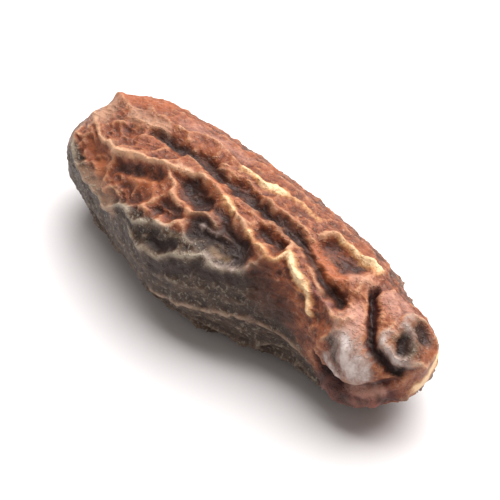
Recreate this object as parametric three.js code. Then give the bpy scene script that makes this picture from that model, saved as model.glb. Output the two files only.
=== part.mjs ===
// A dried tonka bean, lying on its belly on a level surface.
// The seed grew as one piece, so it is one closed solid: a blunt, slightly kidney-shaped body whose skin
// shrank as it dried into narrow crests, with sunken cells and furrows between them.
// Units are millimetres. +Z is up, +X points to the folded end, where the seed hung from its pod, and the
// origin is under the middle of the bean, on the surface that it lies on.
import * as THREE from "three";
import { mergeVertices } from "three/addons/utils/BufferGeometryUtils.js";

// Body
const LENGTH = 34.6;
const FLANK_HALF_WIDTH = 5.5;
const BACK_HALF_WIDTH = 5.3;
const TOP_HEIGHT = 5.15;
const BELLY_DEPTH = 5.2;
const END_BLUNTNESS = 2.45;
const SECTION_SQUARENESS = 2.3;
const TAPER = 0.05;
const SIDE_BEND = 0.2;
// Where the flank swells and where it draws in, as shares of the half length and of the flank's half width
const SWELL = { at: -0.16, reach: 0.32, amount: 0.27 };
const WAIST = { at: 0.43, reach: 0.2, amount: -0.25 };

// Mesh: how far its rings are spread toward the ends, and its sides crowded toward the top
const SIDES = 76;
const RINGS = 78;
const RING_SPREAD = 0.25;
const SIDE_CROWDING = 0.35;

// The flat that the bean rests on: how far the belly is worn off, and the smooth patch round it
const REST_FLAT = 0.14;
const REST_PATCH = { alongX: 6, acrossY: 1.7 };

// Wrinkles are given on the skin by two numbers: millimetres along X from the middle of the bean, and
// degrees round it, from 0 at the top down over the flank (-Y), with minus down over the back (+Y).
// rise is the height above the skin, or the depth below it, and reach is the half width. A crest loses
// height toward both of its ends.
const CREST_END_LOSS = 0.6;
const CRESTS = [
  { name: "crown crest", rise: 0.75, reach: 0.5,
    path: [[-15.9, 10], [-14.7, 22], [-13.4, 33], [-11.4, 37], [-9.2, 34], [-7, 27], [-4.8, 18], [-3, 15],
      [-1.5, 17], [0, 22]] },
  { name: "pit crest", rise: 0.3, reach: 0.35,
    path: [[-1.8, 14], [0.4, 15], [2.2, 12], [3.8, 12], [5.2, 14], [6, 20]] },
  { name: "end crest", rise: 0.45, reach: 0.45,
    path: [[-15.9, -34], [-15.2, -24], [-14.2, -13], [-12.6, -3], [-11.4, 3], [-10, 2], [-8.8, -3]] },
  { name: "facet edge", rise: 0.35, reach: 0.4, path: [[-13.4, 33], [-13, 20], [-11.8, 10], [-11.4, 3]] },
  { name: "back bank", rise: 0.4, reach: 0.4,
    path: [[-12, -14], [-9.8, -12], [-8, -14], [-6.6, -20], [-4.8, -19], [-3.2, -15], [-1.4, -14],
      [0.4, -17], [2.4, -22], [4, -21]] },
  { name: "inner bank", rise: 0.35, reach: 0.35,
    path: [[-4.2, -5], [-2.4, -8], [-0.4, -6], [2, -4], [3.9, -3], [5.2, -4], [6.4, -3]] },
  { name: "back edge crest", rise: 0.25, reach: 0.4,
    path: [[-12.5, -28], [-9.5, -30], [-6.4, -34], [-3, -31], [0.5, -34], [3.8, -30], [6.6, -36],
      [9.5, -40]] },
  { name: "hollow back rim", rise: 0.8, reach: 0.45,
    path: [[6, -13], [7, -20], [8.4, -21], [9.8, -23], [11.2, -26]] },
  { name: "hollow end rim", rise: 0.35, reach: 0.5,
    path: [[11.4, 14], [11.3, 5], [11.1, -6], [11.4, -16]] },
  { name: "stalk crest", rise: 0.35, reach: 0.6, path: [[12.4, -22], [13.4, -14], [14.3, -6]] },
  { name: "flank scallop", rise: 0.65, reach: 0.42,
    path: [[-15.4, 40], [-14.8, 54], [-13.4, 66], [-11.8, 73], [-10.3, 74], [-9, 77], [-8, 69], [-7, 63],
      [-5.8, 66], [-4.4, 61], [-3, 55], [-2.2, 48]] },
  { name: "lower scallop", rise: 0.6, reach: 0.42,
    path: [[-6.6, 72], [-5.4, 74], [-4, 76], [-2.5, 73], [-0.8, 65], [0.6, 58], [1.9, 58], [3.1, 55],
      [4, 47], [4.4, 39], [4.5, 33]] },
  { name: "scallop link", rise: 0.4, reach: 0.35, path: [[-2.2, 48], [-1.2, 54], [0.6, 58]] },
  { name: "first cell wall", rise: 0.35, reach: 0.4, path: [[-13.4, 33], [-13.9, 44], [-13.9, 60]] },
  { name: "second cell wall", rise: 0.35, reach: 0.38,
    path: [[-11, 37], [-10.4, 44], [-10.3, 54], [-10, 64], [-10.3, 74]] },
  { name: "short cell wall", rise: 0.3, reach: 0.35, path: [[-8.6, 48], [-7.2, 43], [-6, 39]] },
  { name: "third cell wall", rise: 0.5, reach: 0.4,
    path: [[-6, 25], [-4.8, 31], [-4.3, 38], [-3.2, 42], [-2, 38], [-1, 35], [0.4, 37]] },
  { name: "fourth cell wall", rise: 0.35, reach: 0.38,
    path: [[-4.3, 38], [-5.2, 46], [-5.6, 56], [-5.8, 66]] },
  { name: "pit rim", rise: 0.65, reach: 0.4,
    path: [[0, 22], [1.6, 26], [3, 29], [4.3, 33], [5.2, 31], [5.6, 24], [5.2, 14]] },
  { name: "shoulder crest", rise: 0.75, reach: 0.42,
    path: [[5.6, 21], [6.6, 26], [7.5, 30], [8.5, 35], [9.2, 42], [9.7, 50]] },
  { name: "shoulder fold", rise: 0.45, reach: 0.55,
    path: [[7.4, 15], [8.6, 23], [9.8, 31], [10.8, 37], [11.8, 38], [12.5, 31]] },
  { name: "lobe rim", rise: 0.4, reach: 0.4, path: [[12, 50], [11.3, 63], [11.1, 77], [11.8, 90]] },
  { name: "lobe fold one", rise: 0.32, reach: 0.45, path: [[13.1, 54], [13.7, 63], [14.2, 73]] },
  { name: "lobe fold two", rise: 0.26, reach: 0.4, path: [[14.3, 56], [14.7, 66], [15, 76]] },
  { name: "lobe fold three", rise: 0.26, reach: 0.45, path: [[12.1, 76], [12.5, 84], [13, 91]] },
  { name: "upper flank fold", rise: 0.22, reach: 0.4,
    path: [[-9.5, 93], [-6, 91], [-2.5, 86], [1, 82], [4, 80], [7, 82], [9, 88]] },
  { name: "lower flank fold", rise: 0.4, reach: 0.45,
    path: [[-4, 106], [0.5, 98], [4, 92], [7.5, 96], [10.6, 104]] },
  { name: "lip", rise: 1.1, reach: 0.8,
    path: [[11.8, 110], [12.8, 117], [13.9, 120], [15, 117], [15.8, 110]] },
  { name: "lip end", rise: 0.5, reach: 0.5, path: [[15.5, 106], [16.3, 106], [16.8, 120], [17, 140]] },
  { name: "knob ring", rise: 0.5, reach: 0.4,
    path: [[14.5, 7], [14.6, 21], [15, 32], [15.8, 40], [16.6, 36], [17, 10], [16.8, -30], [16.1, -34],
      [15.2, -22], [14.7, -8], [14.5, 7]] },
];
const FURROWS = [
  { name: "crown furrow", rise: 0.5, reach: 0.34,
    path: [[-9.6, 6], [-7.8, 3], [-6, 0], [-4.4, 3], [-2.6, 3], [-0.4, 4], [1.6, 4], [3.6, 4], [5.2, 5],
      [6.9, 10], [8, 15], [9, 20], [10, 24]] },
  { name: "furrow pockets one", rise: 0.6, reach: 0.55, path: [[-8.4, 1], [-6.8, 0]] },
  { name: "furrow pockets two", rise: 0.6, reach: 0.5, path: [[-5.6, -4], [-4.2, -3]] },
  { name: "furrow pockets three", rise: 0.6, reach: 0.5, path: [[-1.6, 0], [0.2, 0]] },
  { name: "furrow end", rise: 0.75, reach: 0.4, path: [[8, 14], [9, 19], [10, 23]] },
  { name: "pinhole", rise: 0.85, reach: 0.6, path: [[10, 23], [10.8, 24]] },
  { name: "knob neck", rise: 0.5, reach: 1.6, path: [[12.6, -55], [13.6, -75]] },
  { name: "knob groove", rise: 0.95, reach: 0.34,
    path: [[11.9, -8], [12.3, -1], [12.8, 8], [13.3, 17], [13.8, 27], [14.4, 37]] },
  { name: "groove foot", rise: 0.9, reach: 0.48, path: [[14.4, 37], [15.1, 46], [15.8, 50], [16.5, 48]] },
  { name: "lobe hollow", rise: 0.25, reach: 0.6, path: [[12.2, 58], [12.6, 68], [13, 78]] },
  { name: "lip crease", rise: 0.5, reach: 0.4, path: [[11.1, 86], [11.4, 95], [12.5, 99], [13.7, 101]] },
  { name: "lip crease end", rise: 0.35, reach: 0.36,
    path: [[13.7, 101], [14.8, 96], [15.8, 84], [16.5, 66]] },
  { name: "small pit", rise: 0.6, reach: 0.65, path: [[3.1, 20], [4.4, 20]] },
  { name: "knob flank pit", rise: 0.6, reach: 0.5, path: [[15.7, 18], [15.9, 24]] },
  { name: "knob back pit", rise: 0.5, reach: 0.45, path: [[15.7, -16], [16.1, -14]] },
  { name: "fold below the tip", rise: 0.3, reach: 0.5, path: [[-0.6, 27], [1, 32], [2.2, 35]] },
];
const CELLS = [
  { name: "hollow", rise: 0.65, reach: 1.3, path: [[7.4, -8], [8.9, -9]] },
  { name: "end cell", rise: 0.4, reach: 1.2, path: [[-12.6, 46], [-12, 48]] },
  { name: "long cell", rise: 0.5, reach: 0.7, path: [[-9.7, 44], [-7.9, 40], [-6.4, 35]] },
  { name: "orange cell", rise: 0.4, reach: 1, path: [[-8.6, 57], [-6.9, 53]] },
  { name: "deep cell", rise: 0.6, reach: 0.8, path: [[-4.2, 24], [-3.2, 29], [-1.9, 30]] },
  { name: "middle cell", rise: 0.5, reach: 0.9, path: [[-4.2, 47], [-3.2, 48]] },
  { name: "great cell", rise: 0.65, reach: 1.2, path: [[-0.6, 45], [1, 43], [2.4, 43]] },
  { name: "scallop cell", rise: 0.4, reach: 0.6, path: [[-3.4, 68], [-2, 65]] },
  { name: "tip facet", rise: 0.4, reach: 1.7, path: [[-16.7, -8], [-16.4, 22]] },
];
const SWELLINGS = [
  { name: "knob", rise: 1.15, reach: 1.9, path: [[15.8, 2], [15.9, 8]] },
  { name: "pale lobe", rise: 0.7, reach: 1.5, path: [[12.9, 54], [13.9, 70]] },
  { name: "hollow mound", rise: 0.3, reach: 1, path: [[10.2, 0], [10.9, -7]] },
  { name: "far shoulder", rise: 0.4, reach: 2.6, path: [[-14.6, -30], [-12, -34]] },
  { name: "far end", rise: 0.3, reach: 2.6, path: [[-16, 62], [-15.4, 96]] },
];
const PATH_STEPS = 4;

// The net of crests that covers the rest of the skin: irregular cells, longer than they are wide, laid out
// over millimetres along X and millimetres round the bean
const NET_CELL = new THREE.Vector2(4.4, 2.3);
const NET_GIRTH_RADIUS = 5.6;
const NET_RISE = 0.6;
const NET_CREST = 0.2;
const NET_JITTER = 0.85;
const NET_WAVE = { size: 0.5, pitch: 0.8 };
const NET_SEED = 11;
// The net fades out where it would crowd together at the two ends
const NET_END_POWER = 10;
// The part of the skin that the crests above already cover, in degrees, and what the net keeps there
const TRACED = { from: -70, to: 112, feather: 16, keep: 0.22 };

// Where crests meet, the taller one wins smoothly
const MEETING_SHARPNESS = 4;

const halfLength = LENGTH / 2;

function hump(share, { at, reach, amount }) {
  return amount * Math.exp(-(((share - at) / reach) ** 2));
}

// A point of the smooth body, from its share of the half length and its angle round the bean
function bodyPoint(share, angle) {
  const round = Math.max(0, 1 - Math.abs(share) ** END_BLUNTNESS) ** (1 / END_BLUNTNESS);
  const side = Math.sin(angle);
  const height = Math.cos(angle);
  const flank = FLANK_HALF_WIDTH * (1 + hump(share, SWELL) + hump(share, WAIST));
  const halfWidth = side > 0 ? flank : BACK_HALF_WIDTH;
  const halfHeight = height > 0 ? TOP_HEIGHT : BELLY_DEPTH;
  const spread =
    Math.abs(height / halfHeight) ** SECTION_SQUARENESS + Math.abs(side / halfWidth) ** SECTION_SQUARENESS;
  const radius = spread ** (-1 / SECTION_SQUARENESS) * round * (1 - TAPER * share);
  return new THREE.Vector3(
    halfLength * share,
    -radius * side + SIDE_BEND * (1 - share * share),
    radius * height + BELLY_DEPTH,
  );
}

// The smooth body as one closed mesh. Each vertex keeps its angle round the bean.
function bodyGeometry() {
  const sphere = new THREE.SphereGeometry(1, SIDES, RINGS);
  sphere.deleteAttribute("normal");
  sphere.deleteAttribute("uv");
  sphere.rotateZ(-Math.PI / 2);
  const geometry = mergeVertices(sphere, 1e-5);
  const position = geometry.getAttribute("position");
  const angles = [];
  for (let i = 0; i < position.count; i += 1) {
    const axial = THREE.MathUtils.clamp(position.getX(i), -1, 1);
    const share = axial * (1 - RING_SPREAD * (1 - axial * axial));
    const turn = Math.atan2(-position.getY(i), position.getZ(i));
    const angle = turn - SIDE_CROWDING * Math.sin(turn);
    angles.push(THREE.MathUtils.radToDeg(angle));
    const point = bodyPoint(share, angle);
    position.setXYZ(i, point.x, point.y, point.z);
  }
  geometry.computeVertexNormals();
  return { geometry, angles };
}

// The points that a wrinkle's path passes through on the smooth body
function pathPoints(wrinkle) {
  const curve = new THREE.SplineCurve(wrinkle.path.map(([x, angle]) => new THREE.Vector2(x, angle)));
  return curve
    .getPoints(PATH_STEPS * (wrinkle.path.length - 1))
    .map((at) => bodyPoint(at.x / halfLength, THREE.MathUtils.degToRad(at.y)));
}

// How far a point is from a path, and what share of the path lies behind the nearest place on it
function nearestOnPath(point, points) {
  const nearest = new THREE.Vector3();
  const best = { distance: Infinity, along: 0 };
  for (let i = 1; i < points.length; i += 1) {
    const piece = new THREE.Line3(points[i - 1], points[i]);
    const along = piece.closestPointToPointParameter(point, true);
    const distance = piece.at(along, nearest).distanceTo(point);
    if (distance < best.distance) {
      best.distance = distance;
      best.along = (i - 1 + along) / (points.length - 1);
    }
  }
  return best;
}

function tallest(heights) {
  const sum = heights.reduce((total, height) => total + height ** MEETING_SHARPNESS, 0);
  return sum ** (1 / MEETING_SHARPNESS);
}

// The cross-sections of the wrinkles, over the distance as a share of the half width: a crest is a sharp
// line on a broad shoulder, a furrow or a swelling is round, and a cell has a flat floor and steep walls
const fold = (gap) => 0.6 * Math.exp(-((gap / 0.9) ** 1.7)) + 0.4 * Math.exp(-((gap / 2.1) ** 1.5));
const bowl = (gap) => Math.exp(-(gap ** 2));
const pan = (gap) => Math.exp(-(gap ** 3));

// How far one kind of wrinkle lifts or sinks a point
function reliefOf(wrinkles, point, profile, endLoss = 0) {
  return tallest(
    wrinkles.map(({ rise, reach, points }) => {
      const { distance, along } = nearestOnPath(point, points);
      const left = 1 - endLoss * (2 * along - 1) ** 6;
      return rise * left * profile(distance / reach);
    }),
  );
}

// A repeatable draw from 0 to 1 for each cell of the net
function draw(i, j, turn) {
  let bits = Math.imul(i, 73856093) ^ Math.imul(j, 19349663) ^ Math.imul(turn + NET_SEED, 83492791);
  bits ^= bits >>> 13;
  bits = Math.imul(bits, 1274126177);
  bits ^= bits >>> 16;
  return (bits >>> 0) / 4294967296;
}

// How much further the second nearest cell centre is than the nearest: 0 on a crest of the net
function insideCell(x, angle) {
  const { size, pitch } = NET_WAVE;
  const girth = THREE.MathUtils.degToRad(angle) * NET_GIRTH_RADIUS;
  const place = new THREE.Vector2(
    x + size * Math.sin(pitch * girth),
    girth + size * Math.sin(pitch * x + 1),
  ).divide(NET_CELL);
  const home = place.clone().floor();
  let nearest = Infinity;
  let second = Infinity;
  for (let n = 0; n < 9; n += 1) {
    const i = home.x + (n % 3) - 1;
    const j = home.y + Math.floor(n / 3) - 1;
    const off = new THREE.Vector2(draw(i, j, 0), draw(i, j, 1)).subScalar(0.5).multiplyScalar(NET_JITTER);
    const distance = off.addScalar(0.5).add(new THREE.Vector2(i, j)).distanceTo(place);
    if (distance < nearest) {
      second = nearest;
      nearest = distance;
    } else if (distance < second) {
      second = distance;
    }
  }
  return second - nearest;
}

function netRelief(point, angle) {
  const { from, to, feather, keep } = TRACED;
  const { smoothstep } = THREE.MathUtils;
  const traced = smoothstep(angle, from - feather, from) * (1 - smoothstep(angle, to, to + feather));
  const nearEnd = Math.abs(point.x / halfLength) ** NET_END_POWER;
  const weight = (1 - (1 - keep) * traced) * (1 - Math.min(1, nearEnd));
  return NET_RISE * weight * fold(insideCell(point.x, angle) / NET_CREST);
}

// 0 in the middle of the patch that the bean rests on, and 1 away from it
function awayFromRest(point) {
  if (point.z > BELLY_DEPTH) return 1;
  const { alongX, acrossY } = REST_PATCH;
  return 1 - Math.exp(-(((point.x / alongX) ** 2 + (point.y / acrossY) ** 2) ** 2));
}

// The smooth body with every wrinkle raised from it or sunk into it, set down on its flat
function beanGeometry() {
  const { geometry, angles } = bodyGeometry();
  const [crests, furrows, cells, swellings] = [CRESTS, FURROWS, CELLS, SWELLINGS].map((wrinkles) =>
    wrinkles.map((wrinkle) => ({ ...wrinkle, points: pathPoints(wrinkle) })),
  );
  const position = geometry.getAttribute("position");
  const normal = geometry.getAttribute("normal");
  for (let i = 0; i < position.count; i += 1) {
    const point = new THREE.Vector3().fromBufferAttribute(position, i);
    const outward = new THREE.Vector3().fromBufferAttribute(normal, i);
    const raised = tallest([reliefOf(crests, point, fold, CREST_END_LOSS), netRelief(point, angles[i])]);
    const sunk = reliefOf(furrows, point, bowl) + reliefOf(cells, point, pan);
    const relief = raised + reliefOf(swellings, point, bowl) - sunk;
    point.addScaledVector(outward, relief * awayFromRest(point));
    position.setXYZ(i, point.x, point.y, Math.max(point.z, REST_FLAT));
  }
  geometry.deleteAttribute("normal");
  geometry.computeBoundingBox();
  const middle = geometry.boundingBox.getCenter(new THREE.Vector3());
  geometry.translate(-middle.x, -middle.y, -REST_FLAT);
  geometry.computeVertexNormals();
  return geometry;
}

function driedSkin() {
  return new THREE.MeshStandardMaterial({ color: 0x6b4236, roughness: 0.62, metalness: 0 });
}

const tonkaBean = new THREE.Group();
const bean = new THREE.Mesh(beanGeometry(), driedSkin());
bean.name = "bean";
tonkaBean.add(bean);

export default tonkaBean;
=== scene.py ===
import math

import bmesh
import bpy
import numpy as np
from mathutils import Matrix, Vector, noise


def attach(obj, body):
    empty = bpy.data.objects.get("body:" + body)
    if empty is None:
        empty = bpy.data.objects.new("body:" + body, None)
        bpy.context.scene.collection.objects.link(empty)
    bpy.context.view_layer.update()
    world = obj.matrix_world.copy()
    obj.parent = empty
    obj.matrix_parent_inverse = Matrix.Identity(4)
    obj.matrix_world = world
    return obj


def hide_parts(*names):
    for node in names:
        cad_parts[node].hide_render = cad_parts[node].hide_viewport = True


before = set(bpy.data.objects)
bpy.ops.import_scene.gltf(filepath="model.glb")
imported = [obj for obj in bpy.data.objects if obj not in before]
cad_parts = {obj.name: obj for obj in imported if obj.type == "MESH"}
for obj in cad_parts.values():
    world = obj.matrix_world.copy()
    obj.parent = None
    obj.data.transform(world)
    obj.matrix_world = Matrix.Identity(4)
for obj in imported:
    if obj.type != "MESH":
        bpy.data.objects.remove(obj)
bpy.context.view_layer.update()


# The bean: one dried seed, about 35 mm long, with a thin skin that shrank onto the kernel as it dried.
# The skin drew up into narrow crests with sunken cells between them. A furrow runs along the top, and the
# end that hung from the pod is folded into a knob, a pale lobe and a lip.
HALF_LENGTH = 17.3
FLANK_HALF_WIDTH = 5.5
BACK_HALF_WIDTH = 5.3
TOP_HEIGHT = 5.15
BELLY_DEPTH = 5.2
END_BLUNTNESS = 2.45
SECTION_SQUARENESS = 2.3
TAPER = 0.05
SIDE_BEND = 0.2
# The flank's swelling and waist: place and reach as shares of the half length, and amount
SWELL = (-0.16, 0.32, 0.27)
WAIST = (0.43, 0.2, -0.25)
# The mesh: faces round and along the bean, crowded toward the top and evened out toward the ends
SIDES = 300
RINGS = 300
RING_SPREAD = 0.25
SIDE_CROWDING = 0.35
# The bean rests on a smooth patch: how much of it is pressed flat, and the half length and half width
REST_FLAT = 0.14
REST_PATCH = (6.0, 1.7)
# The middle of the bean's box, seen from the middle of its smooth body
BOX_MIDDLE = (0.28, -0.48)

# A wrinkle is its height or depth, its half width and its path, in millimetres. A path is given on the
# skin by millimetres along X and degrees round from the top, toward the flank or with minus toward the
# back.
CRESTS = {
    "crown crest": (0.75, 0.5, [(-15.9, 10), (-14.7, 22), (-13.4, 33), (-11.4, 37), (-9.2, 34),
        (-7, 27), (-4.8, 18), (-3, 15), (-1.5, 17), (0, 22)]),
    "pit crest": (0.3, 0.35, [(-1.8, 14), (0.4, 15), (2.2, 12), (3.8, 12), (5.2, 14), (6, 20)]),
    "end crest": (0.45, 0.45, [(-15.9, -34), (-15.2, -24), (-14.2, -13), (-12.6, -3), (-11.4, 3),
        (-10, 2), (-8.8, -3)]),
    "facet edge": (0.35, 0.4, [(-13.4, 33), (-13, 20), (-11.8, 10), (-11.4, 3)]),
    "back bank": (0.4, 0.4, [(-12, -14), (-9.8, -12), (-8, -14), (-6.6, -20), (-4.8, -19),
        (-3.2, -15), (-1.4, -14), (0.4, -17), (2.4, -22), (4, -21)]),
    "inner bank": (0.35, 0.35, [(-4.2, -5), (-2.4, -8), (-0.4, -6), (2, -4), (3.9, -3), (5.2, -4),
        (6.4, -3)]),
    "back edge crest": (0.25, 0.4, [(-12.5, -28), (-9.5, -30), (-6.4, -34), (-3, -31), (0.5, -34),
        (3.8, -30), (6.6, -36), (9.5, -40)]),
    "hollow back rim": (0.8, 0.45, [(6, -13), (7, -20), (8.4, -21), (9.8, -23), (11.2, -26)]),
    "hollow end rim": (0.35, 0.5, [(11.4, 14), (11.3, 5), (11.1, -6), (11.4, -16)]),
    "stalk crest": (0.35, 0.6, [(12.4, -22), (13.4, -14), (14.3, -6)]),
    "flank scallop": (0.65, 0.42, [(-15.4, 40), (-14.8, 54), (-13.4, 66), (-11.8, 73), (-10.3, 74),
        (-9, 77), (-8, 69), (-7, 63), (-5.8, 66), (-4.4, 61), (-3, 55), (-2.2, 48)]),
    "lower scallop": (0.6, 0.42, [(-6.6, 72), (-5.4, 74), (-4, 76), (-2.5, 73), (-0.8, 65), (0.6, 58),
        (1.9, 58), (3.1, 55), (4, 47), (4.4, 39), (4.5, 33)]),
    "scallop link": (0.4, 0.35, [(-2.2, 48), (-1.2, 54), (0.6, 58)]),
    "first cell wall": (0.35, 0.4, [(-13.4, 33), (-13.9, 44), (-13.9, 60)]),
    "second cell wall": (0.35, 0.38, [(-11, 37), (-10.4, 44), (-10.3, 54), (-10, 64), (-10.3, 74)]),
    "short cell wall": (0.3, 0.35, [(-8.6, 48), (-7.2, 43), (-6, 39)]),
    "third cell wall": (0.5, 0.4, [(-6, 25), (-4.8, 31), (-4.3, 38), (-3.2, 42), (-2, 38), (-1, 35),
        (0.4, 37)]),
    "fourth cell wall": (0.35, 0.38, [(-4.3, 38), (-5.2, 46), (-5.6, 56), (-5.8, 66)]),
    "pit rim": (0.65, 0.4, [(0, 22), (1.6, 26), (3, 29), (4.3, 33), (5.2, 31), (5.6, 24), (5.2, 14)]),
    "shoulder crest": (0.75, 0.42, [(5.6, 21), (6.6, 26), (7.5, 30), (8.5, 35), (9.2, 42), (9.7, 50)]),
    "shoulder fold": (0.45, 0.55, [(7.4, 15), (8.6, 23), (9.8, 31), (10.8, 37), (11.8, 38),
        (12.5, 31)]),
    "lobe rim": (0.4, 0.4, [(12, 50), (11.3, 63), (11.1, 77), (11.8, 90)]),
    "lobe fold one": (0.32, 0.45, [(13.1, 54), (13.7, 63), (14.2, 73)]),
    "lobe fold two": (0.26, 0.4, [(14.3, 56), (14.7, 66), (15, 76)]),
    "lobe fold three": (0.26, 0.45, [(12.1, 76), (12.5, 84), (13, 91)]),
    "upper flank fold": (0.22, 0.4, [(-9.5, 93), (-6, 91), (-2.5, 86), (1, 82), (4, 80), (7, 82),
        (9, 88)]),
    "lower flank fold": (0.4, 0.45, [(-4, 106), (0.5, 98), (4, 92), (7.5, 96), (10.6, 104)]),
    "lip": (1.1, 0.8, [(11.8, 110), (12.8, 117), (13.9, 120), (15, 117), (15.8, 110)]),
    "lip end": (0.5, 0.5, [(15.5, 106), (16.3, 106), (16.8, 120), (17, 140)]),
    "knob ring": (0.5, 0.4, [(14.5, 7), (14.6, 21), (15, 32), (15.8, 40), (16.6, 36), (17, 10),
        (16.8, -30), (16.1, -34), (15.2, -22), (14.7, -8), (14.5, 7)]),
}
# Thin ribs, too fine for the solid, that break up the cells and the crests round them
RIBS = {
    "end cell one": (0.44, 0.3, [(-15, 30), (-13.9, 38), (-12.8, 43)]),
    "end cell two": (0.42, 0.3, [(-13.6, 60), (-12.6, 55), (-11.8, 49)]),
    "end cell three": (0.4, 0.28, [(-10.8, 44), (-11.8, 49), (-12.8, 51)]),
    "end cell four": (0.36, 0.28, [(-12.9, 36), (-12.4, 42), (-12.6, 47)]),
    "orange cell one": (0.42, 0.3, [(-10.2, 56), (-9.2, 59), (-8, 58), (-7.2, 61)]),
    "orange cell two": (0.4, 0.28, [(-7.8, 44), (-7.2, 50), (-7.2, 57)]),
    "orange cell three": (0.38, 0.28, [(-9.6, 48), (-8.9, 53), (-9, 60)]),
    "long cell": (0.36, 0.28, [(-9, 35), (-8.8, 40), (-8.4, 46)]),
    "first arc": (0.5, 0.32, [(-15.2, 50), (-14.4, 45), (-13.5, 49), (-13.1, 58)]),
    "second arc": (0.5, 0.32, [(-13.2, 67), (-12.6, 59), (-11.6, 58), (-10.9, 66)]),
    "third arc": (0.48, 0.32, [(-9.9, 73), (-9.4, 64), (-8.5, 61), (-7.7, 66)]),
    "fourth arc": (0.42, 0.3, [(-6.8, 64), (-6.2, 57), (-5.3, 56), (-4.6, 61)]),
    "arc rib one": (0.3, 0.26, [(-14.4, 60), (-13.8, 55), (-13.6, 50)]),
    "arc rib two": (0.3, 0.26, [(-11.9, 71), (-12, 65), (-11.9, 60)]),
    "arc rib three": (0.3, 0.26, [(-8.6, 74), (-8.7, 68), (-8.7, 63)]),
    "deep cell": (0.22, 0.26, [(-4, 35), (-3.2, 30), (-2.8, 24)]),
    "middle cell": (0.32, 0.28, [(-4.9, 46), (-3.8, 49), (-2.8, 47)]),
    "great cell one": (0.45, 0.3, [(-1.4, 45), (-0.4, 42), (0.7, 39), (1.8, 38)]),
    "great cell two": (0.34, 0.28, [(1.4, 57), (1.9, 50), (2.9, 45)]),
    "great cell three": (0.28, 0.26, [(-0.4, 53), (0.2, 49), (1.2, 47)]),
    "scallop cell": (0.34, 0.28, [(-4.4, 70), (-3.4, 66), (-2.4, 62)]),
    "plateau one": (0.2, 0.26, [(-10.8, 28), (-10.2, 21), (-10, 14)]),
    "plateau two": (0.22, 0.26, [(-8.4, 24), (-8, 16), (-7.6, 10)]),
    "plateau three": (0.2, 0.26, [(-5.8, 16), (-5.2, 10), (-5, 6)]),
    "facet": (0.22, 0.3, [(-12.8, 14), (-11.6, 18), (-10.2, 21)]),
    "bank one": (0.2, 0.26, [(-10.4, -3), (-9.6, -8), (-9.2, -12)]),
    "bank two": (0.2, 0.26, [(-7.4, -6), (-7, -12), (-6.6, -18)]),
    "bank three": (0.2, 0.26, [(-2.6, -8), (-2.8, -13)]),
    "bank four": (0.2, 0.26, [(2.2, -6), (2.6, -12), (2.4, -20)]),
}
FURROWS = {
    "crown furrow": (0.5, 0.34, [(-9.6, 6), (-7.8, 3), (-6, 0), (-4.4, 3), (-2.6, 3), (-0.4, 4),
        (1.6, 4), (3.6, 4), (5.2, 5), (6.9, 10), (8, 15), (9, 20), (10, 24)]),
    "furrow pockets one": (0.6, 0.55, [(-8.4, 1), (-6.8, 0)]),
    "furrow pockets two": (0.6, 0.5, [(-5.6, -4), (-4.2, -3)]),
    "furrow pockets three": (0.6, 0.5, [(-1.6, 0), (0.2, 0)]),
    "furrow end": (0.75, 0.4, [(8, 14), (9, 19), (10, 23)]),
    "pinhole": (0.85, 0.6, [(10, 23), (10.8, 24)]),
    "knob neck": (0.5, 1.6, [(12.6, -55), (13.6, -75)]),
    "knob groove": (0.95, 0.34, [(11.9, -8), (12.3, -1), (12.8, 8), (13.3, 17), (13.8, 27),
        (14.4, 37)]),
    "groove foot": (0.9, 0.48, [(14.4, 37), (15.1, 46), (15.8, 50), (16.5, 48)]),
    "lobe hollow": (0.25, 0.6, [(12.2, 58), (12.6, 68), (13, 78)]),
    "lip crease": (0.5, 0.4, [(11.1, 86), (11.4, 95), (12.5, 99), (13.7, 101)]),
    "lip crease end": (0.35, 0.36, [(13.7, 101), (14.8, 96), (15.8, 84), (16.5, 66)]),
    "small pit": (0.6, 0.65, [(3.1, 20), (4.4, 20)]),
    "knob flank pit": (0.6, 0.5, [(15.7, 18), (15.9, 24)]),
    "knob back pit": (0.5, 0.45, [(15.7, -16), (16.1, -14)]),
    "fold below the tip": (0.3, 0.5, [(-0.6, 27), (1, 32), (2.2, 35)]),
}
CELLS = {
    "hollow": (0.65, 1.3, [(7.4, -8), (8.9, -9)]),
    "end cell": (0.4, 1.2, [(-12.6, 46), (-12, 48)]),
    "long cell": (0.5, 0.7, [(-9.7, 44), (-7.9, 40), (-6.4, 35)]),
    "orange cell": (0.4, 1, [(-8.6, 57), (-6.9, 53)]),
    "deep cell": (0.6, 0.8, [(-4.2, 24), (-3.2, 29), (-1.9, 30)]),
    "middle cell": (0.5, 0.9, [(-4.2, 47), (-3.2, 48)]),
    "great cell": (0.65, 1.2, [(-0.6, 45), (1, 43), (2.4, 43)]),
    "scallop cell": (0.4, 0.6, [(-3.4, 68), (-2, 65)]),
    "tip facet": (0.4, 1.7, [(-16.7, -8), (-16.4, 22)]),
}
SWELLINGS = {
    "knob": (1.15, 1.9, [(15.8, 2), (15.9, 8)]),
    "pale lobe": (0.7, 1.5, [(12.9, 54), (13.9, 70)]),
    "hollow mound": (0.3, 1.0, [(10.2, 0), (10.9, -7)]),
    "far shoulder": (0.4, 2.6, [(-14.6, -30), (-12, -34)]),
    "far end": (0.3, 2.6, [(-16, 62), (-15.4, 96)]),
}
# The share of its height that a crest loses at its ends, how sharply two wrinkles meet, and the steps
# that a path takes from one place to the next
CREST_END_LOSS = 0.6
MEETING_SHARPNESS = 4
PATH_STEPS = 4

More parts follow.
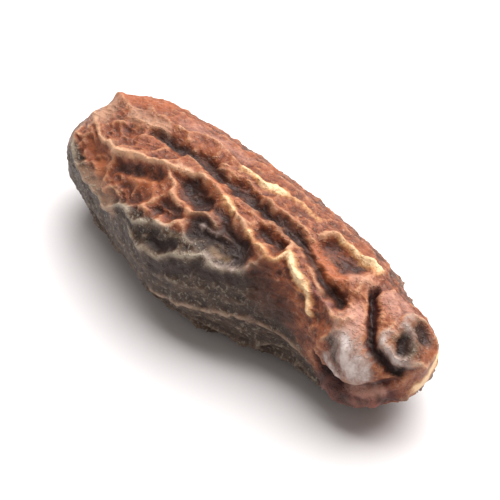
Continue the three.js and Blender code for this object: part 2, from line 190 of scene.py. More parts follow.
# Streaks of colour on the skin, among them painted shade in the dark ones and painted highlights on the
# lobe's
# folds: strength, half width and path, as for a wrinkle
STREAKS = {
    "cream": {
        "bank": (1.0, 0.35, [(-2.2, -14), (-0.8, -15), (0.4, -17), (1.4, -19)]),
        "bank wide": (1.0, 0.5, [(0, -17), (1, -18)]),
        "bank end": (0.6, 0.3, [(1.4, -19), (2.4, -22), (3.6, -22), (5, -22)]),
        "hollow back rim": (0.8, 0.3, [(7, -20), (8.4, -21), (9.4, -22)]),
        "hollow back rim end": (1.0, 0.5, [(9.6, -22), (10.8, -25)]),
        "crown tip": (0.8, 0.4, [(-0.9, 18), (0.2, 22)]),
        "pit rim": (0.8, 0.3, [(2.2, 27), (3.2, 30), (4.3, 33), (5.2, 31), (5.6, 25)]),
        "shoulder": (1.0, 0.4, [(6, 23), (7.5, 30), (8.4, 35), (9.1, 42), (9.5, 49)]),
        "end corner": (1.0, 0.8, [(17.26, 149), (17.29, 216), (17.26, 284), (17.02, 281),
            (16.68, 278)]),
    },
    "ochre": {
        "great cell floor": (0.65, 0.45, [(1, 52), (2.2, 51)]),
        "great cell tip": (0.6, 0.35, [(0.9, 47), (1.6, 46)]),
        "short wall": (0.6, 0.4, [(-8.4, 47), (-6.2, 40)]),
        "first cells": (0.5, 0.8, [(-12.6, 48), (-10.8, 58)]),
    },
    "pale": {
        "great cell fleck": (0.5, 0.3, [(-0.9, 43), (0.4, 40)]),
        "great cell crescent": (0.4, 0.35, [(0.8, 57), (2, 57), (3.1, 54), (3.9, 47)]),
        "lobe": (0.75, 1.25, [(13, 54), (13.8, 66), (14.2, 80)]),
        "lobe groove side": (0.6, 0.7, [(13.9, 48), (14.8, 62)]),
        # Painted highlights along the lobe's folds, on its own pale colour
        "lobe fold one": (1.0, 0.6, [(12.9, 50), (13.7, 63), (14.2, 73)]),
        "lobe fold two": (0.85, 0.5, [(14.3, 58), (14.7, 66), (15, 76)]),
        "lobe fold three": (0.85, 0.5, [(12.1, 76), (12.5, 84), (13, 91)]),
        "knob ring": (0.7, 0.4, [(14.7, 20), (15, 31), (15.8, 39), (16.6, 33)]),
        "knob top": (0.5, 0.5, [(14.7, 2), (14.8, -8)]),
        "knob middle": (0.6, 0.35, [(15.1, 2), (16, 2)]),
    },
    "ash": {
        "knob": (0.75, 1.2, [(15.6, 8), (16.2, 20)]),
        "knob back": (0.6, 0.8, [(15.4, -14), (16.2, -14)]),
        "lobe hollow": (0.7, 0.6, [(12.1, 58), (12.6, 70)]),
        "groove foot": (0.9, 0.6, [(15.1, 46), (16.5, 48)]),
        "great cell": (0.8, 1.1, [(-0.8, 46), (2.4, 47)]),
        "scallop cell": (0.7, 0.8, [(-3.6, 68), (-1.6, 64)]),
    },
    "pink": {
        "above the lobe": (0.9, 0.9, [(12.2, 26), (13, 36)]),
        "beside the groove": (0.8, 0.7, [(12.8, -14), (14, -4)]),
        "above the knob": (0.7, 0.8, [(13, -24), (14.4, -20)]),
        "hollow mound": (0.7, 0.9, [(10, -2), (11.2, -8)]),
        "lip band": (1.0, 0.4, [(13.6, 104), (15, 101), (16, 94)]),
        "far band": (0.6, 0.9, [(-9, -24), (-3, -27)]),
    },
    "tan": {
        # On the tip facet and the plateau, which face up, the tan is partly the skin's own colour and
        # partly painted light
        "tip facet": (1.0, 1.4, [(-15.2, 0), (-14.4, 14)]),
        "plateau": (0.8, 0.9, [(-12, 0), (-9.6, -4)]),
        "far edge": (0.7, 1.0, [(-16, 34), (-15.6, 56)]),
        "scallops": (0.8, 0.9, [(-12.6, 68), (-10, 68), (-8.4, 74)]),
        "lobe top": (0.7, 0.9, [(11.8, 38), (12.6, 44)]),
        "crown crest": (0.5, 0.35, [(-11.4, 35), (-9.2, 32), (-7, 25), (-4.8, 16), (-3, 13)]),
        "lower flank fold": (0.7, 0.3, [(-3, 104), (0.5, 98), (4, 92), (7.5, 96), (9.6, 101)]),
    },
    "rust": {
        "far top": (0.85, 1.3, [(-14.5, -26), (-11.5, -30)]),
        "first cells": (0.9, 1.0, [(-13, 46), (-11, 56)]),
        "orange wall": (1.3, 0.8, [(6.8, 3), (7.8, 7), (8.6, 8), (9.4, 8)]),
        "long cell": (0.8, 0.7, [(-8.4, 47), (-6.2, 42)]),
        "crown tip": (0.8, 0.7, [(-2.6, 15), (-1, 18)]),
        "near flank": (0.7, 1.6, [(5.6, 60), (8.4, 64)]),
    },
    "wine": {
        "lip": (1.0, 1.3, [(11.9, 112), (13.4, 118), (15, 116), (16.2, 108)]),
        "lip crease": (1.0, 0.7, [(11.2, 88), (12, 97), (13.7, 101)]),
        "lip crease end": (0.7, 0.5, [(13.7, 101), (15.2, 92), (16.2, 76)]),
        "knob groove": (1.0, 0.55, [(11.9, -8), (12.8, 8), (13.8, 27), (14.9, 44), (16, 49)]),
        "beside the shoulder": (0.8, 0.5, [(8.6, 30), (9.8, 34), (10.6, 34)]),
    },
    # Painted shade over some of the skin's own dark: near-black in the furrows, grooves, pits and cells,
    # below the tip, the knob and the scallop, and on the near flank
    "dark": {
        "great cell": (1.0, 1.35, [(-0.8, 43), (1, 42), (2.6, 42)]),
        "deep cell": (1.0, 0.9, [(-3.8, 25), (-1.9, 30)]),
        "below the tip": (0.9, 0.5, [(-0.8, 28), (1, 32), (2.4, 35)]),
        "scallop cell": (0.9, 0.6, [(-3.4, 68), (-1.6, 64)]),
        "furrow": (0.95, 0.66, [(-9, 3), (-6, 0), (-2.6, 3), (1.6, 4), (5.2, 5)]),
        "furrow end": (0.9, 0.5, [(5.2, 5), (7.4, 12), (9.4, 22)]),
        "hollow floor": (0.8, 0.9, [(8.6, -9), (9.6, -9)]),
        "pinhole": (1.0, 0.6, [(9.8, 22), (10.8, 24)]),
        "knob groove": (1.0, 0.34, [(11.9, -6), (12.8, 8), (13.8, 27), (14.9, 44), (16, 49)]),
        "knob": (0.9, 0.65, [(15.7, 16), (16, 20)]),
        "below the knob": (1.0, 0.5, [(15.1, 46), (15.8, 51), (16.5, 49)]),
        "lobe hollow": (0.6, 0.5, [(12.3, 60), (12.7, 68)]),
        "knob back": (0.8, 0.7, [(15.6, -16), (16.2, -16)]),
        "under the scallop": (0.85, 0.9, [(-3, 83), (-1, 74), (1.5, 67), (3.8, 60)]),
        "near flank": (0.95, 1.7, [(4.8, 50), (6.2, 60), (7.4, 68)]),
        "near flank low": (0.6, 1.6, [(4.6, 80), (8.5, 84)]),
        "end cell": (0.6, 0.8, [(-12.9, 45), (-12.2, 48)]),
        "long cell": (0.8, 0.6, [(-9.6, 43), (-7.9, 40)]),
        "middle cell": (0.6, 0.7, [(-4, 46), (-3.2, 47)]),
        "small pit": (0.7, 0.5, [(3.1, 20), (4.4, 20)]),
        "lip": (0.7, 0.8, [(11.9, 106), (13, 113), (13.8, 118)]),
        "lip end": (0.8, 0.4, [(16.5, 112), (16.9, 130)]),
        "lip crease": (0.9, 0.4, [(11.1, 86), (11.4, 95), (12.5, 99), (13.7, 101)]),
    },
}
# Where the red-brown skin of the top gives way to the grey-brown of the flank, in millimetres along X and
# degrees round from the top, and how many degrees the change reaches to each side
GREY_EDGE = [(-17, 54), (-15, 48), (-13.4, 59), (-12, 65), (-9, 69), (-7, 60), (-2.5, 56), (0.3, 55),
    (3, 50), (5, 53), (6.5, 68), (8, 82), (10, 98), (12, 118), (17, 150)]
GREY_FEATHER = [(3, 7), (6, 26)]
# The back turns brown and then greyish further round, over these degrees, which the lumps shift
BROWN_BACK = (-20, -75)
GREY_BACK = (-60, -130)
BACK_GREYNESS = 0.6
LUMP_TURN = 22
# The grey of the flank and the back fades out toward the folded end, over these millimetres along X
GREY_END = (12, 15)
# On the far tip the change goes by height: where the tip starts and ends along X, and how high the skin
# turns brown and then grey
FAR_TIP = (14.2, 16.6)
TIP_GREY = (-8.2, -4.6)
TIP_BROWN = (-9.6, -7)
TIP_GREYNESS = 0.8
LUMP_DROP = 2

# The net of crests over the rest of the skin, laid out over millimetres along X and round the bean, and
# the finer net on top of it: cell size, height, crest width as a share of a cell, and seed
NET = {"cell": (4.4, 2.3), "rise": 0.6, "crest": 0.2, "seed": 11}
FINE_NET = {"cell": (1.5, 0.9), "rise": 0.12, "crest": 0.2, "seed": 40}
NET_JITTER = 0.85
NET_WAVE = {"size": 0.5, "pitch": 0.8, "start": 1}
NET_GIRTH_RADIUS = 5.6
NET_END_POWER = 10
# The degrees between which the wrinkles above take over from the net, and the share of it that stays
TRACED = {"from": -70, "to": 112, "feather": 16, "keep": 0.22}

# Noises over the skin, with pitches per millimetre and heights in millimetres. The wander bends every
# wrinkle, creases run along the bean, lumps lie under them, and the flank has pebbles.
WANDER_SEED = 5
WANDERS = [{"pitch": 0.8, "reach": 0.28}, {"pitch": 2.4, "reach": 0.1}]
UNEVENNESS = {"pitch": 1.1, "amount": 0.3}
CREASES = {"pitch": 1.1, "stretch": (0.55, 1.0, 1.0), "roughness": 0.9, "scaling": 2.1, "layers": 4,
    "offset": 1.0, "gain": 2.0, "full": 2.0, "start": 0.35, "rise": 0.2}
LUMPS = {"pitch": 0.9, "roughness": 1.0, "scaling": 2.0, "layers": 4, "rise": 0.1}
PEBBLES = {"pitch": 2.6, "rise": 0.05}
# All this fine relief sits a little lower, so that the bean keeps to the solid's height
FINE_DROP = 0.08
# The flank, between these degrees, loses most of its fine net and creases
FLANK = {"start": (60, 80), "end": (110, 130)}
FLANK_NET_LOSS = 0.65
FLANK_CREASE_LOSS = 0.7
# The fine relief is weaker on the pale, ashen and pink places and in the cells: the share that each takes
# away, the most that they take together, and the depth at which a cell counts in full
CALM = {"pale": 0.8, "ash": 0.5, "pink": 0.4}
CALM_SUNKEN = 0.25
CALM_MOST = 0.9
SUNKEN_DEPTH = 0.5

# How far a place stands above the skin around it, which the material paints as shade where it lies low:
# rounds of levelling, and millimetres from dark to light
STANDING = {
    "standing": {"rounds": 160, "span": 1.6},
    "close": {"rounds": 16, "span": 0.2},
}
# The line along the top of a crest: the net has a weaker one, and at this height a line is fully drawn
NET_LINE_SHARE = 0.4
CREST_LINE_FULL = 0.6

# How a wrinkle falls away to its sides: reach as a share of its half width, and steepness
SHARP_LINE = (0.6, 1.2)
BROAD_SHOULDER = (2.1, 1.5)
THIN_LINE = (0.5, 1.5)
HOLLOW = (1, 2)
TRENCH = (1, 2.6)
PAN = (1, 3)
# The share of a crest's height in its sharp line, how late a crest starts to lose height toward its ends,
# and how many half widths away from its path a wrinkle still counts
LINE_SHARE = 0.6
END_LOSS_POWER = 6
WRINKLE_MARGIN = 4
SHORTEST_RUN = 1e-9
DRAW_PRIMES = (73856093, 19349663, 83492791, 1274126177)
DRAW_SHIFTS = (13, 16)
MILLIMETRE = 0.001


def hump(share, place, reach, amount):
    """A swelling, or with a minus a waist, somewhere along the bean."""
    return amount * np.exp(-(((share - place) / reach) ** 2))


def body_points(share, angle):
    """Points of the smooth body, from shares of the half length and angles round the bean."""
    swell = np.maximum(0, 1 - np.abs(share) ** END_BLUNTNESS) ** (1 / END_BLUNTNESS)
    side, height = np.sin(angle), np.cos(angle)
    flank_half_width = FLANK_HALF_WIDTH * (1 + hump(share, *SWELL) + hump(share, *WAIST))
    half_width = np.where(side > 0, flank_half_width, BACK_HALF_WIDTH)
    half_height = np.where(height > 0, TOP_HEIGHT, BELLY_DEPTH)
    up_part = np.abs(height / half_height) ** SECTION_SQUARENESS
    side_part = np.abs(side / half_width) ** SECTION_SQUARENESS
    radius = (up_part + side_part) ** (-1 / SECTION_SQUARENESS) * swell * (1 - TAPER * share)
    x = HALF_LENGTH * share
    y = SIDE_BEND * (1 - share**2) - radius * side
    z = BELLY_DEPTH + radius * height
    return np.stack([x, y, z], axis=-1)


def path_points(path):
    """A smooth path through the given places, on the smooth body."""
    knots = np.array(path, float)
    last = len(knots) - 1
    places = []
    for step in range(PATH_STEPS * last + 1):
        piece = min(step // PATH_STEPS, last - 1)
        part = step / PATH_STEPS - piece
        before, start, end, after = (knots[min(max(piece + k, 0), last)] for k in (-1, 0, 1, 2))
        out, into = (end - before) / 2, (after - start) / 2
        places.append(
            (2 * start - 2 * end + out + into) * part**3
            + (3 * end - 3 * start - 2 * out - into) * part**2
            + out * part
            + start
        )
    places = np.array(places)
    return body_points(places[:, 0] / HALF_LENGTH, np.radians(places[:, 1]))


def nearest_on_path(points, path):
    """How far each point is from a path, and the share of the path behind the nearest place on it."""
    distance = np.full(len(points), np.inf)
    along = np.zeros(len(points))
    for k, (start, end) in enumerate(zip(path[:-1], path[1:])):
        run = end - start
        part = np.clip((points - start) @ run / max(run @ run, SHORTEST_RUN), 0, 1)
        gap = np.linalg.norm(points - start - part[:, None] * run, axis=1)
        along = np.where(gap < distance, (k + part) / (len(path) - 1), along)
        distance = np.minimum(distance, gap)
    return distance, along


def fall(gap, reach, steepness):
    """1 in the middle of a wrinkle, falling away to 0 on both sides."""
    return np.exp(-((gap / reach) ** steepness))


def fold(gap):
    """A crest: a sharp line on a broad shoulder. The gap is a share of the crest's half width."""
    return LINE_SHARE * fall(gap, *SHARP_LINE) + (1 - LINE_SHARE) * fall(gap, *BROAD_SHOULDER)


def hollow(gap):
    return fall(gap, *HOLLOW)


def trench(gap):
    return fall(gap, *TRENCH)


def pan(gap):
    """A cell: a flat floor with steep walls."""
    return fall(gap, *PAN)


def line(gap):
    return fall(gap, *THIN_LINE)


def tallest(first, second):
    """Where two crests meet, the taller one wins smoothly."""
    return (first**MEETING_SHARPNESS + second**MEETING_SHARPNESS) ** (1 / MEETING_SHARPNESS)


def relief(wrinkles, points, profile, end_loss=0.0):
    """The height of a set of wrinkles, the taller one winning where they meet."""
    total = np.zeros(len(points))
    for rise, reach, path in wrinkles.values():
        route = path_points(path)
        margin = WRINKLE_MARGIN * reach
        inside = (points > route.min(axis=0) - margin) & (points < route.max(axis=0) + margin)
        near = np.flatnonzero(inside.all(axis=1))
        distance, along = nearest_on_path(points[near], route)
        left = 1 - end_loss * (2 * along - 1) ** END_LOSS_POWER
        total[near] += (rise * left * profile(distance / reach)) ** MEETING_SHARPNESS
    return total ** (1 / MEETING_SHARPNESS)


def draw(i, j, turn):
    """A repeatable draw from 0 to 1 for each cell of a net."""
    across, along, over, stir = DRAW_PRIMES
    bits = i.astype(np.uint32) * np.uint32(across) ^ j.astype(np.uint32) * np.uint32(along)
    bits ^= np.uint32(turn * over % 2**32)
    bits ^= bits >> np.uint32(DRAW_SHIFTS[0])
    bits *= np.uint32(stir)
    bits ^= bits >> np.uint32(DRAW_SHIFTS[1])
    return bits / 2**32


def net_gap(x, angle, net):
    """How far a place is from the crests of a net, as a share of a crest's width."""
    size, pitch = NET_WAVE["size"], NET_WAVE["pitch"]
    girth = angle * NET_GIRTH_RADIUS
    along = x + size * np.sin(pitch * girth)
    around = girth + size * np.sin(pitch * x + NET_WAVE["start"])
    place = np.stack([along, around], axis=-1) / net["cell"]
    home = np.floor(place).astype(np.int64)
    nearest = np.full(len(x), np.inf)
    second = np.full(len(x), np.inf)
    neighbours = [(left, below) for below in (-1, 0, 1) for left in (-1, 0, 1)]
    for left, below in neighbours:
        i, j = home[:, 0] + left, home[:, 1] + below
        off = np.stack([draw(i, j, net["seed"]), draw(i, j, net["seed"] + 1)], axis=-1) - 0.5
        centre = np.stack([i, j], axis=-1) + 0.5 + off * NET_JITTER
        distance = np.linalg.norm(centre - place, axis=1)
        second = np.minimum(second, np.maximum(distance, nearest))
        nearest = np.minimum(nearest, distance)
    return (second - nearest) / net["crest"]


def smoothstep(low, high, value):
    """0 at low, 1 at high, with a soft step between them."""
    part = np.clip((value - low) / (high - low), 0, 1)
    return part * part * (3 - 2 * part)


def noise_at(kind, places, pitch, *settings):
    """One kind of noise at each of the places."""
    return np.array([kind(Vector(place) * pitch, *settings) for place in places])


# A sphere is drawn out into the smooth body
sphere = bmesh.new()
bmesh.ops.create_uvsphere(sphere, u_segments=SIDES, v_segments=RINGS, radius=1)
start = np.array([v.co for v in sphere.verts])
share = start[:, 2] * (1 - RING_SPREAD * (1 - start[:, 2] ** 2))
turn = np.arctan2(-start[:, 0], start[:, 1])
angle = turn - SIDE_CROWDING * np.sin(turn)
degrees = np.degrees(angle)
smooth = body_points(np.clip(share, -1, 1), angle)
for vertex, place in zip(sphere.verts, smooth):
    vertex.co = place
sphere.normal_update()
outward = np.array([v.normal for v in sphere.verts])

# How far the net, the ends and the flank count at each place
traced = smoothstep(TRACED["from"] - TRACED["feather"], TRACED["from"], degrees)
traced *= 1 - smoothstep(TRACED["to"], TRACED["to"] + TRACED["feather"], degrees)
off_ends = 1 - np.minimum(1, np.abs(share) ** NET_END_POWER)
net_share = (1 - (1 - TRACED["keep"]) * traced) * off_ends
flank = smoothstep(*FLANK["start"], degrees) * (1 - smoothstep(*FLANK["end"], degrees))

# The noises: the wander bends the places at which the wrinkles are looked up
noise.seed_set(WANDER_SEED)
bent = smooth
for bend in WANDERS:
    bent = bent + bend["reach"] * noise_at(noise.noise_vector, smooth, bend["pitch"])
uneven = 1 + UNEVENNESS["amount"] * noise_at(noise.noise, smooth, UNEVENNESS["pitch"])
lumps = noise_at(
    noise.fractal, smooth, LUMPS["pitch"], LUMPS["roughness"], LUMPS["scaling"], LUMPS["layers"]
)
pebbles = PEBBLES["rise"] * flank * noise_at(noise.noise, smooth, PEBBLES["pitch"])
creases = noise_at(
    noise.ridged_multi_fractal, bent * CREASES["stretch"] * CREASES["pitch"], 1,
    CREASES["roughness"], CREASES["scaling"], CREASES["layers"], CREASES["offset"], CREASES["gain"],
)
creases = np.clip(creases / CREASES["full"] - CREASES["start"], 0, 1)
creases *= CREASES["rise"] * (1 - FLANK_CREASE_LOSS * flank)

# The wrinkles and the streaks of colour
ribs = relief(RIBS, bent, fold, CREST_END_LOSS)
traced_crests = uneven * tallest(relief(CRESTS, bent, fold, CREST_END_LOSS), ribs)
crest_gap = net_gap(bent[:, 0], angle, NET)
net = NET["rise"] * net_share * uneven * fold(crest_gap)
fine_gap = net_gap(bent[:, 0], angle, FINE_NET)
fine_net = FINE_NET["rise"] * (1 - FLANK_NET_LOSS * flank) * fold(fine_gap)
furrow = relief(FURROWS, bent, trench)
cells = relief(CELLS, bent, pan)
swelling = relief(SWELLINGS, smooth, hollow)
streaks = {name: relief(paths, bent, hollow) for name, paths in STREAKS.items()}

# All the relief together raises the skin off the smooth body
calm = sum(amount * np.clip(streaks[name], 0, 1) for name, amount in CALM.items())
calm += CALM_SUNKEN * np.clip(cells / SUNKEN_DEPTH, 0, 1)
fine = (creases + fine_net + pebbles - FINE_DROP) * off_ends * (1 - np.clip(calm, 0, CALM_MOST))
raised = tallest(traced_crests, net) + fine + LUMPS["rise"] * lumps + swelling - furrow - cells
# The patch that the bean rests on stays smooth and is pressed flat
upper = smooth[:, 2] > BELLY_DEPTH
patch = (smooth[:, 0] / REST_PATCH[0]) ** 2 + (smooth[:, 1] / REST_PATCH[1]) ** 2
raised *= np.where(upper, 1, 1 - np.exp(-(patch**2)))
formed = smooth + outward * raised[:, None]
formed[:, 2] = np.maximum(formed[:, 2], REST_FLAT)
formed -= (*BOX_MIDDLE, REST_FLAT)
for vertex, place in zip(sphere.verts, formed):
    vertex.co = place * MILLIMETRE
for face in sphere.faces:
    face.smooth = True
skin_mesh = bpy.data.meshes.new("bean_skin")
sphere.to_mesh(skin_mesh)
sphere.free()


def levelled(values, rounds):
    """The values, evened out with their neighbours on the skin."""
    ends = np.empty(2 * len(skin_mesh.edges), dtype=np.int32)
    skin_mesh.edges.foreach_get("vertices", ends)
    one, other = ends[::2], ends[1::2]
    count = np.bincount(one, minlength=len(values)) + np.bincount(other, minlength=len(values))
    for _ in range(rounds):
        total = np.bincount(one, values[other], len(values))
        total += np.bincount(other, values[one], len(values))
        values = (values + total / count) / 2
    return values


# The marks that the material reads, kept on the mesh as attributes
edge = np.interp(smooth[:, 0], *zip(*GREY_EDGE))
feather = np.interp(smooth[:, 0], *zip(*GREY_FEATHER))
grey = smoothstep(edge - feather, edge + feather, degrees)
grey += BACK_GREYNESS * smoothstep(*GREY_BACK, degrees + LUMP_TURN * lumps)
brown = smoothstep(*BROWN_BACK, degrees + LUMP_TURN * lumps)
tip = smoothstep(*FAR_TIP, -smooth[:, 0])
depth = LUMP_DROP * lumps - smooth[:, 2]
grey += tip * (TIP_GREYNESS * smoothstep(*TIP_GREY, depth) - grey)
brown += tip * (smoothstep(*TIP_BROWN, depth) - brown)
grey *= 1 - smoothstep(*GREY_END, smooth[:, 0])
grey += streaks.pop("ash")
net_lines = NET_LINE_SHARE * net_share * NET["rise"] * line(crest_gap)
traced_lines = tallest(relief(CRESTS, bent, line), relief(RIBS, bent, line))
marks = {"plain": net_share, "brown": brown, "grey": grey}
marks["crest"] = tallest(traced_lines, net_lines) / CREST_LINE_FULL
for name, measure in STANDING.items():
    marks[name] = 0.5 + (raised - levelled(raised, measure["rounds"])) / measure["span"]
for name, values in (marks | streaks).items():
    layer = skin_mesh.attributes.new(name, "FLOAT", "POINT")
    layer.data.foreach_set("value", np.clip(values, 0, 1).astype(np.float32))
bean_skin = bpy.data.objects.new("bean_skin", skin_mesh)
bpy.context.scene.collection.objects.link(bean_skin)


class Signal:
    """A number from a node's socket, so that shader maths reads as an expression."""

    def __init__(self, finish, socket):
        self.finish = finish
        self.socket = socket

    def maths(self, operation, first, second):
        return self.finish.add("ShaderNodeMath", {"operation": operation}, {0: first, 1: second})

    def __add__(self, other):
        return self.maths("ADD", self, other)

    def __sub__(self, other):
        return self.maths("SUBTRACT", self, other)

    def __rsub__(self, other):
        return self.maths("SUBTRACT", other, self)

    def __mul__(self, other):
        return self.maths("MULTIPLY", self, other)

    __radd__ = __add__
    __rmul__ = __mul__

    def swing(self, amount):
        """The signal moved to lie around 0, and scaled."""
        return amount * (self - 0.5)

    def ramp(self, low, high):
        """0 below low, 1 above high, with a soft step between them."""
        return self.finish.add(
            "ShaderNodeMapRange",
            {"interpolation_type": "SMOOTHSTEP"},
            {"Value": self, "From Min": low, "From Max": high},
        )


class Finish:
    """A material in the making."""

    def __init__(self, name):
        self.material = bpy.data.materials.new(name)
        self.material.use_nodes = True
        self.tree = self.material.node_tree
        self.shader = self.tree.nodes["Principled BSDF"]

    def fill(self, node, inputs):
        for key, value in inputs.items():
            if isinstance(value, Signal):
                self.tree.links.new(value.socket, node.inputs[key])
            else:
                node.inputs[key].default_value = value

    def add(self, kind, settings=None, inputs=None, output=0):
        node = self.tree.nodes.new(kind)
        for key, value in (settings or {}).items():
            if key == "stops":
                ramp = node.color_ramp
                while len(ramp.elements) < len(value):
                    ramp.elements.new(0.5)
                for element, (position, colour) in zip(ramp.elements, value):
                    element.position = position
                    element.color = (*colour, 1)
            else:
                setattr(node, key, value)
        self.fill(node, inputs or {})
        return Signal(self, node.outputs[output])

    def mark(self, name):
        return self.add("ShaderNodeAttribute", {"attribute_name": name}, output="Fac")

    def mix(self, factor, first, second):
        first, second = ((*c, 1) if isinstance(c, tuple) else c for c in (first, second))
        return self.add(
            "ShaderNodeMix", {"data_type": "RGBA"}, {0: factor, 6: first, 7: second}, output=2
        )

    def tones(self, factor, stops):
        return self.add("ShaderNodeValToRGB", {"stops": stops}, {"Fac": factor})


# The skin's colours, from the bottom of a cell to the top of a crest. The dark toward the bottom is
# painted shade in the hollows; the pale toward the top is wear.
RED_TONES = [
    (0.12, (0.040, 0.011, 0.006)), (0.34, (0.115, 0.027, 0.011)), (0.5, (0.235, 0.065, 0.027)),
    (0.66, (0.36, 0.130, 0.059)), (0.9, (0.48, 0.225, 0.118))]
UMBER_TONES = [
    (0.12, (0.026, 0.012, 0.009)), (0.34, (0.062, 0.026, 0.017)), (0.5, (0.12, 0.052, 0.033)),
    (0.66, (0.20, 0.095, 0.060)), (0.9, (0.32, 0.175, 0.115))]
ASHEN_TONES = [
    (0.12, (0.014, 0.007, 0.004)), (0.36, (0.035, 0.017, 0.010)), (0.52, (0.066, 0.036, 0.021)),
    (0.68, (0.13, 0.083, 0.054)), (0.9, (0.26, 0.193, 0.135))]
SHADE_BROWN = (0.075, 0.034, 0.022)
BLOOM_RED = (0.34, 0.09, 0.03)
SHADE_STRENGTH = 0.5
BLOOM_STRENGTH = 0.5
# Wear, a painted highlight along the crests, and dust: colours on red and on grey skin, strength on red
# skin and how much stronger on grey
WORN_TONES = ((0.54, 0.265, 0.14), (0.40, 0.34, 0.26))
CREST_HIGHLIGHT_TONES = ((0.67, 0.40, 0.24), (0.46, 0.40, 0.31))
DUST_TONES = ((0.58, 0.38, 0.28), (0.42, 0.36, 0.29))
WORN_STRENGTH = (0.5, -0.2)
CREST_HIGHLIGHT_STRENGTH = (0.6, -0.3)
DUST_STRENGTH = (0.22, 0.25)
SPECK_STRENGTH = 0.12
CREST_HIGHLIGHT_LEAST = 0.55
CREST_HIGHLIGHT_MORE = 0.9
# The dark and light tones of the wine-red folds and of the pale lobe; the lobe's light tone is partly
# painted highlight
WINE_TONES = ((0.05, 0.009, 0.009), (0.17, 0.050, 0.045))
LOBE_TONES = ((0.35, 0.25, 0.215), (0.67, 0.60, 0.57))
LOBE_STRENGTH = 0.85
# Where only the net wrinkles it, the skin is plainer: the tone that it keeps near, and what it loses
PLAIN_TONE = 0.4
PLAIN_LOSS = 0.6
PLAIN_WEAR_LOSS = 0.75
ROUGHNESS = 0.5
GLOSS = 0.33
BUMP_STRENGTH = 0.8
BUMP_DEPTH = 0.15 * MILLIMETRE

skin = Finish("dried_skin")
place = skin.add("ShaderNodeTexCoord", output="Object")


def in_millimetres(stretch=(1, 1, 1)):
    scale = [s / MILLIMETRE for s in stretch]
    return skin.add("ShaderNodeMapping", {}, {"Vector": place, "Scale": scale})


def skin_noise(pitch, detail, roughness=0.5, stretch=(1, 1, 1)):
    inputs = {"Vector": in_millimetres(stretch), "Scale": pitch, "Detail": detail, "Roughness": roughness}
    return skin.add("ShaderNodeTexNoise", {}, inputs)


def skin_grains(pitch, output):
    inputs = {"Vector": in_millimetres(), "Scale": pitch}
    return skin.add("ShaderNodeTexVoronoi", {}, inputs, output=output)


def cover(name, mottled, grained, low, high):
    """How fully a colour covers each place: its streaks, broken up by the mottle and the grain."""
    broken = skin.mark(name) + mottle.swing(mottled)
    if grained:
        broken = broken + grain.swing(grained)
    return broken.ramp(low, high)


blotches = skin_noise(pitch=0.45, detail=4)
mottle = skin_noise(pitch=1.6, detail=4, roughness=0.6)
grain = skin_noise(pitch=6, detail=3, roughness=0.6)
strands = skin_noise(pitch=1.1, detail=4, roughness=0.65, stretch=(0.4, 1.6, 1.6))
upright = skin_noise(pitch=1.4, detail=3, roughness=0.6, stretch=(1.8, 0.6, 0.6))
pebble = skin_noise(pitch=3.4, detail=2, roughness=0.7).ramp(0.52, 0.68)
speck_gap = skin_grains(pitch=4.2, output="Distance")
speck_draw = skin_grains(pitch=4.2, output="Color")
speck = (1 - speck_gap.ramp(0.12, 0.4)) * speck_draw.ramp(0.5, 0.9)

# The tones of the skin: red-brown on top, umber on the back and grey-brown on the flank
standing, close, crest, plain = (skin.mark(name) for name in ("standing", "close", "crest", "plain"))
# The tone goes dark where the skin lies low, as painted shade in the cells and creases, and light where
# it stands out
level = standing - PLAIN_LOSS * plain * (standing - PLAIN_TONE)
level = level + close.swing(0.4) * (1 - PLAIN_LOSS * plain)
level = level + grain.swing(0.4) + mottle.swing(0.36)
brown_part = (skin.mark("brown") + mottle.swing(0.5) + blotches.swing(0.3)).ramp(0.1, 0.9)
grey_part = (skin.mark("grey") + mottle.swing(0.6)).ramp(0.2, 0.8)
colour = skin.mix(brown_part, skin.tones(level, RED_TONES), skin.tones(level, UMBER_TONES))
# Painted shade: noisy patches of dark brown over the places that lie low
shade = skin_noise(pitch=0.8, detail=3).ramp(0.5, 0.72) * (1 - standing.ramp(0.4, 0.65))
colour = skin.mix(SHADE_STRENGTH * shade, colour, SHADE_BROWN)
colour = skin.mix(grey_part, colour, skin.tones(level, ASHEN_TONES))
bloom = (blotches + strands.swing(0.5)).ramp(0.5, 0.75) * (1 - grey_part) * (1 - brown_part)
colour = skin.mix(BLOOM_STRENGTH * bloom, colour, BLOOM_RED)


def strength(on_red, more_on_grey):
    return on_red + more_on_grey * grey_part


# Wear on all that stands out, and a painted highlight along the crests, uneven from blotch to blotch
kept = 1 - PLAIN_WEAR_LOSS * plain
worn = (close + mottle.swing(0.6) + grain.swing(0.4)).ramp(0.6, 1.2) * kept
colour = skin.mix(worn * strength(*WORN_STRENGTH), colour, skin.mix(grey_part, *WORN_TONES))
crest_highlight = (crest + mottle.swing(0.7) + grain.swing(0.4)).ramp(0.35, 0.95) * kept
crest_highlight = crest_highlight * (CREST_HIGHLIGHT_LEAST + CREST_HIGHLIGHT_MORE * blotches.ramp(0.3, 0.65))
colour = skin.mix(crest_highlight * strength(*CREST_HIGHLIGHT_STRENGTH), colour, skin.mix(grey_part, *CREST_HIGHLIGHT_TONES))

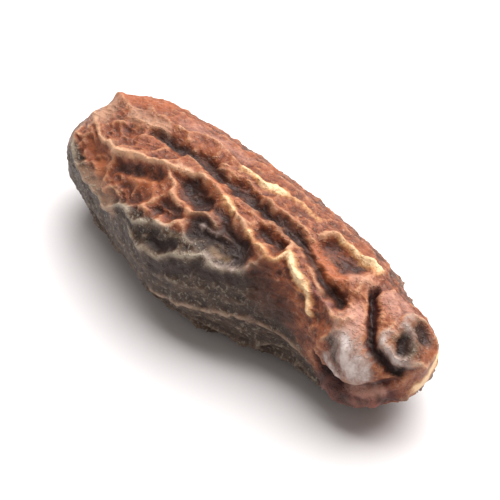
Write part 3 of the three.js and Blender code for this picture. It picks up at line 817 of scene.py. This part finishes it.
# The streaks of colour, one over the other: how far the mottle and the grain break up each one, where it
# starts and where it is full, its strength and its colour
WASHES = [
    ("ochre", 0.6, 0, 0.3, 0.9, 0.8, (0.34, 0.18, 0.065)),
    ("rust", 0.6, 0, 0.2, 1.0, 0.7, (0.40, 0.11, 0.04)),
    ("wine", 0.5, 0, 0.3, 0.9, 0.85, skin.mix(level.ramp(0.42, 0.8), *WINE_TONES)),
    ("tan", 0.6, 0.3, 0.2, 1.0, 0.65, (0.46, 0.265, 0.17)),
    ("pink", 0.6, 0.4, 0.2, 1.0, 0.6, (0.56, 0.29, 0.22)),
    # Near-black painted shade in the hollows and on the near flank, over some of the skin's own dark
    ("dark", 0.5, 0.3, 0.25, 1.0, 0.85, (0.028, 0.014, 0.012)),
    ("cream", 0.6, 0.4, 0.2, 0.65, 0.8, (0.52, 0.24, 0.09)),
    ("cream", 0.6, 0.4, 0.5, 0.95, 1, (0.88, 0.61, 0.35)),
]
covers = {}
for name, mottled, grained, low, high, full, tone in WASHES:
    covers[name] = cover(name, mottled, grained, low, high)
    colour = skin.mix(full * covers[name], colour, tone)
# The pale lobe: its own whitish colour, lighter in upright streaks as painted highlight
pale = skin.mark("pale") + upright.swing(1.3) + mottle.swing(0.5)
lobe_colour = skin.mix(pale.ramp(0.5, 1.2), *LOBE_TONES)
colour = skin.mix(LOBE_STRENGTH * pale.ramp(0.1, 0.8), colour, lobe_colour)

# Pale dust and specks on what stands out, kept off the painted shade and dark places and the wine-red
# places
dust = SPECK_STRENGTH * speck + pebble * strength(*DUST_STRENGTH)
dust = dust * standing.ramp(0.2, 0.5) * (1 - covers["dark"]) * (1 - covers["wine"])
colour = skin.mix(dust, colour, skin.mix(grey_part, *DUST_TONES))
rough = ROUGHNESS + grain.swing(0.2) + mottle.swing(0.2)
bump_height = 0.4 * grain + 0.4 * mottle + 0.25 * speck + 0.5 * pebble
bump = {"Strength": BUMP_STRENGTH, "Distance": BUMP_DEPTH, "Height": bump_height}
normal = skin.add("ShaderNodeBump", {}, bump)
skin.fill(
    skin.shader, {"Base Color": colour, "Roughness": rough, "Normal": normal, "Specular IOR Level": GLOSS}
)
skin_mesh.materials.append(skin.material)
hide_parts("bean")
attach(bean_skin, "root")


# The table: a wide board, painted a matt white, with the bean lying loose on it. It is large enough to
# fill the view on every side.
TABLE_SIZE = 3.0
TABLE_WHITE = (0.79, 0.765, 0.765, 1)
table_form = bmesh.new()
bmesh.ops.create_grid(table_form, x_segments=1, y_segments=1, size=TABLE_SIZE / 2)
table_mesh = bpy.data.meshes.new("table")
table_form.to_mesh(table_mesh)
table_form.free()
table = bpy.data.objects.new("table", table_mesh)
bpy.context.scene.collection.objects.link(table)
paint = Finish("white_table")
paint.fill(paint.shader, {"Base Color": TABLE_WHITE, "Roughness": 0.6, "Specular IOR Level": 0.2})
table_mesh.materials.append(paint.material)


# The light: one large soft window high on the right and a little beyond the bean, in a dim white room
# that fills the shadows.
WINDOW_PLACE = (-0.06, 0.34, 0.7)
WINDOW_SIZE = 1.0
WINDOW_POWER = 17
BEAN_MIDDLE = Vector((0, 0, 0.005))
ROOM_COLOUR = (1.0, 0.94, 0.9, 1)
ROOM_STRENGTH = 0.33
window_light = bpy.data.lights.new("window", "AREA")
window_light.size = WINDOW_SIZE
window_light.energy = WINDOW_POWER
window = bpy.data.objects.new("window", window_light)
window.location = WINDOW_PLACE
window.rotation_euler = (BEAN_MIDDLE - window.location).to_track_quat("-Z", "Y").to_euler()
bpy.context.scene.collection.objects.link(window)
room = bpy.data.worlds.new("room")
room.use_nodes = True
room_light = room.node_tree.nodes["Background"]
room_light.inputs["Color"].default_value = ROOM_COLOUR
room_light.inputs["Strength"].default_value = ROOM_STRENGTH
bpy.context.scene.world = room
bpy.context.scene.view_settings.view_transform = "Standard"


# The camera: at the photograph's angle, above the bean's flank and its folded end, and far enough off
# for a flat view.
AZIMUTH = math.radians(46.7)
ELEVATION = math.radians(45)
DISTANCE = 0.3
VIEW_WIDTH = 0.0355
AIM = Vector((-0.0003, 0.0005, 0.0049))
camera_data = bpy.data.cameras.new("camera")
camera_data.lens = camera_data.sensor_width * DISTANCE / VIEW_WIDTH
camera = bpy.data.objects.new("camera", camera_data)
level_reach = math.cos(ELEVATION)
back = Vector((math.sin(AZIMUTH) * level_reach, -math.cos(AZIMUTH) * level_reach, math.sin(ELEVATION)))
camera.location = AIM + back * DISTANCE
camera.rotation_euler = back.to_track_quat("Z", "Y").to_euler()
bpy.context.scene.collection.objects.link(camera)
bpy.context.scene.camera = camera
